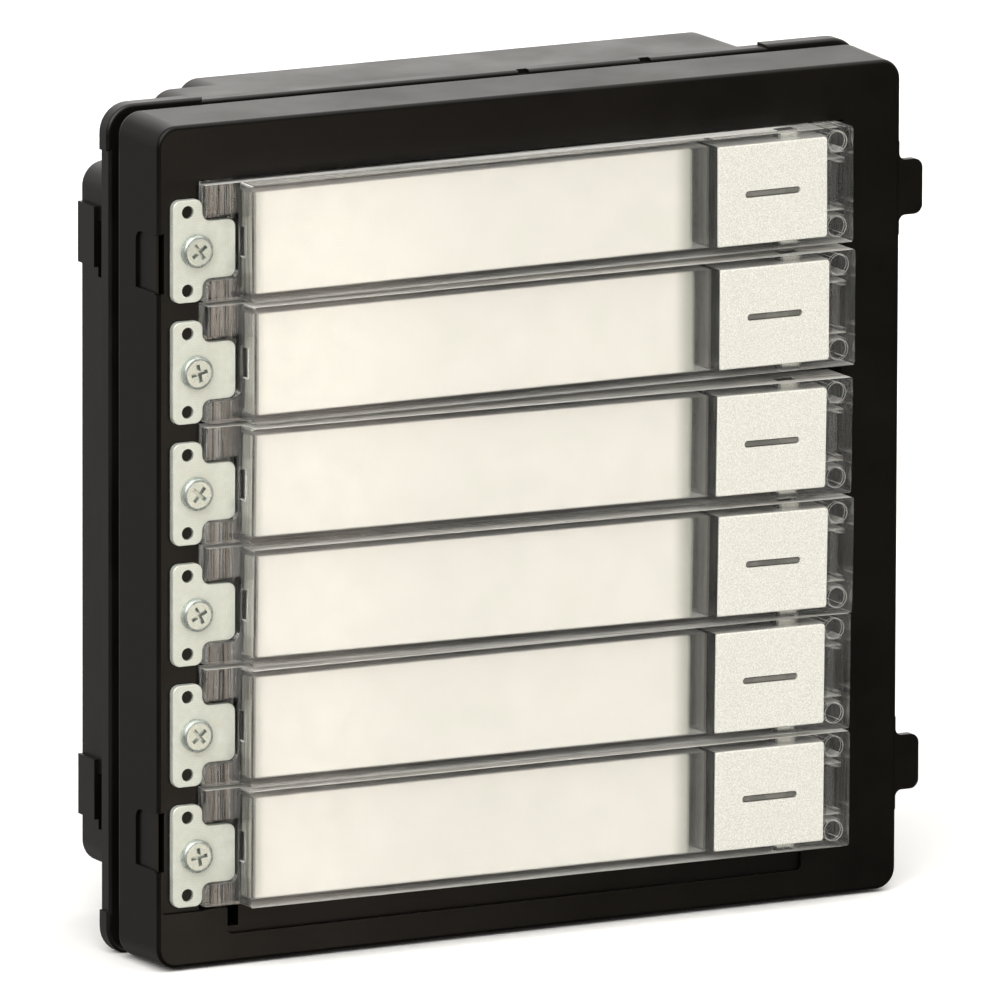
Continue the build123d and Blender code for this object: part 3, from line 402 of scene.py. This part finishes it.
def paintedRootHighlightsPiece(row, marks):
    # painted highlights at the roots of the posts and partitions in a key's end cell: near-white rings and beads
    # drawn where the mould radii catch light
    keyLow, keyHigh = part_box(f"key_cover_{row}")
    capLow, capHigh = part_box(f"button_cap_{row}")
    paperLow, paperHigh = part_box(f"name_card_{row}")
    capMiddle, paperMiddle = (capLow + capHigh) / 2, (paperLow + paperHigh) / 2
    slope = (capMiddle.z - paperMiddle.z) / (capMiddle.x - paperMiddle.x)
    left, right = capHigh.x, keyHigh.x - marks["endWall"] * mm
    centre = Vector(((capHigh.x + keyHigh.x) / 2, keyLow.y + (marks["front"] + marks["bead"]) * mm, 0))
    centre.z = capMiddle.z + slope * (centre.x - capMiddle.x)
    bm = bmesh.new()
    for side in (-1, 1):
        ring = bmesh.ops.create_circle(bm, segments=marks["beadSides"], radius=marks["bead"] * mm)["verts"]
        bmesh.ops.translate(bm, verts=ring, vec=((marks["post"] + marks["bead"]) * mm, 0, 0))
        loop = list({edge for vert in ring for edge in vert.link_edges})
        before = set(bm.verts) - set(ring)
        bmesh.ops.spin(bm, geom=ring + loop, cent=(0, 0, 0), axis=(0, 1, 0), angle=radians(360),
                       steps=marks["ringSteps"], use_merge=True)
        made = [vert for vert in bm.verts if vert not in before]
        bmesh.ops.translate(bm, verts=made, vec=centre + Vector((0, 0, side * marks["postRow"] * mm)))
        bead = bmesh.ops.create_cone(
            bm, cap_ends=True, segments=marks["beadSides"], radius1=marks["bead"] * mm,
            radius2=marks["bead"] * mm, depth=right - left)["verts"]
        bmesh.ops.rotate(bm, verts=bead, cent=(0, 0, 0), matrix=Matrix.Rotation(radians(90), 3, "Y"))
        bmesh.ops.translate(bm, verts=bead, vec=Vector((
            (left + right) / 2, centre.y, centre.z + side * marks["wallRow"] * mm)))
    bmesh.ops.recalc_face_normals(bm, faces=bm.faces)
    for face in bm.faces:
        face.smooth = len(face.verts) == 4
    mesh = bpy.data.meshes.new(f"paintedRootHighlights_{row}")
    bm.to_mesh(mesh)
    bm.free()
    mesh.materials.append(paintedEdgeHighlight)
    piece = bpy.data.objects.new(f"paintedRootHighlights_{row}", mesh)
    scene.collection.objects.link(piece)
    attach(piece, nodes[f"key_cover_{row}"]["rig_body"])


# painted highlight rings and beads in every key's end cell
for row in range(1, rowCount + 1):
    paintedRootHighlightsPiece(row, paintedRootHighlights)
print("end cells ready")

floorLook = {"half": 4.0, "patches": 2.5, "pale": "#F7F7F7", "paler": "#FAFAFA"}


def floorPaint(tree, place):
    # matt white paint, very slightly uneven
    patches = addNode(tree, "ShaderNodeTexNoise", {}, {"Vector": place, "Scale": floorLook["patches"]})
    return {"Base Color": addNode(tree, "ShaderNodeValToRGB", {
        "stops": [(0.0, floorLook["pale"]), (1.0, floorLook["paler"])]}, {"Fac": patches})}


bm = bmesh.new()
bmesh.ops.create_grid(bm, x_segments=1, y_segments=1, size=floorLook["half"])
bmesh.ops.translate(bm, verts=bm.verts, vec=(0, 0, cadBox[0].z))
floorMesh = bpy.data.meshes.new("floor")
bm.to_mesh(floorMesh)
bm.free()
floor = bpy.data.objects.new("floor", floorMesh)
scene.collection.objects.link(floor)
floorMesh.materials.append(newMaterial("paleFloorPaint", floorPaint, Roughness=0.9, Specular_IOR_Level=0.0))
floor.visible_glossy = False

# soft boxes of the studio dome: degrees from the front to the right, and up; where they start and end to fade
softBoxes = [
    {"azimuth": -50, "elevation": 45, "inner": 22, "outer": 40, "strength": 3.2},
    {"azimuth": 152, "elevation": 18, "inner": 22, "outer": 50, "strength": 1.0},
    {"azimuth": 60, "elevation": 70, "inner": 20, "outer": 45, "strength": 1.5},
    {"azimuth": -152, "elevation": -12, "inner": 15, "outer": 45, "strength": 0.3},
]
domeLook = {"sky": 0.35, "ground": 0.05, "groundEnds": -0.15, "skyStarts": 0.25, "tint": "#FFFDF9",
            "backdrop": "#FAFAFA"}

world = bpy.data.worlds.new("studioDome")
world.use_nodes = True
tree = world.node_tree
tree.nodes.clear()
direction = addNode(tree, "ShaderNodeTexCoord").outputs["Generated"]
height = addNode(tree, "ShaderNodeSeparateXYZ", {}, {"Vector": direction}).outputs["Z"]
glow = addNode(tree, "ShaderNodeMapRange", {"interpolation_type": "SMOOTHSTEP"}, {
    "Value": height, "From Min": domeLook["groundEnds"], "From Max": domeLook["skyStarts"],
    "To Min": domeLook["ground"], "To Max": domeLook["sky"]})
for box in softBoxes:
    azimuth, elevation = radians(box["azimuth"]), radians(box["elevation"])
    towards = (sin(azimuth) * cos(elevation), -cos(azimuth) * cos(elevation), sin(elevation))
    facing = addNode(tree, "ShaderNodeVectorMath", {"operation": "DOT_PRODUCT"}, {0: direction, 1: towards})
    light = addNode(tree, "ShaderNodeMapRange", {"interpolation_type": "SMOOTHSTEP"}, {
        "Value": facing.outputs["Value"], "From Min": cos(radians(box["outer"])),
        "From Max": cos(radians(box["inner"])), "To Min": 0.0, "To Max": box["strength"]})
    glow = addNode(tree, "ShaderNodeMath", {"operation": "ADD"}, {0: glow, 1: light})
lamps = addNode(tree, "ShaderNodeBackground", {}, {"Color": colour(domeLook["tint"]), "Strength": glow})
backdrop = addNode(tree, "ShaderNodeBackground", {}, {"Color": colour(domeLook["backdrop"]), "Strength": 1.0})
seen = addNode(tree, "ShaderNodeLightPath").outputs["Is Camera Ray"]
mixed = addNode(tree, "ShaderNodeMixShader", {}, {0: seen, 1: lamps, 2: backdrop})
addNode(tree, "ShaderNodeOutputWorld", {}, {"Surface": mixed})
scene.world = world

# a low lit card in front: its reflection lifts the left end and the foot of the black face
lowCard = {"place": (0.05, -0.3, -0.1), "width": 0.14, "height": 0.2, "power": 0.28, "tint": "#FFEFDC"}
cardLight = bpy.data.lights.new("lowCard", "AREA")
cardLight.shape = "RECTANGLE"
cardLight.size, cardLight.size_y, cardLight.energy = lowCard["width"], lowCard["height"], lowCard["power"]
cardLight.color = colour(lowCard["tint"])[:3]
cardLamp = bpy.data.objects.new("lowCard", cardLight)
cardLamp.location = lowCard["place"]
cardLamp.rotation_euler = (-Vector(lowCard["place"])).to_track_quat("-Z", "Z").to_euler()
cardLamp.visible_camera = False
scene.collection.objects.link(cardLamp)
scene.view_settings.view_transform = "Standard"
print("studio ready")

# the camera stands to the left of the front and above it, and looks at the middle of the face
lookout = {"yaw": 27.98, "pitch": 11.56, "roll": 0.18, "lens": 816.9, "distance": 2.607,
           "faceCentre": (0.0, -0.0134, 0.0), "right": -0.0036, "up": 0.001422}
yaw, pitch, roll = (radians(lookout[key]) for key in ("yaw", "pitch", "roll"))
forward = Vector((sin(yaw) * cos(pitch), cos(yaw) * cos(pitch), -sin(pitch)))
level = Vector((cos(yaw), -sin(yaw), 0))
upright = level.cross(forward)
right = cos(roll) * level + sin(roll) * upright
up = -sin(roll) * level + cos(roll) * upright
target = Vector(lookout["faceCentre"]) + lookout["right"] * right + lookout["up"] * up
cameraData = bpy.data.cameras.new("camera")
cameraData.lens = lookout["lens"]
cameraData.sensor_width = 36.0
camera = bpy.data.objects.new("camera", cameraData)
turn = Matrix((right, up, -forward)).transposed()
camera.matrix_world = Matrix.Translation(target - forward * lookout["distance"]) @ turn.to_4x4()
scene.collection.objects.link(camera)
scene.camera = camera
print("camera ready")
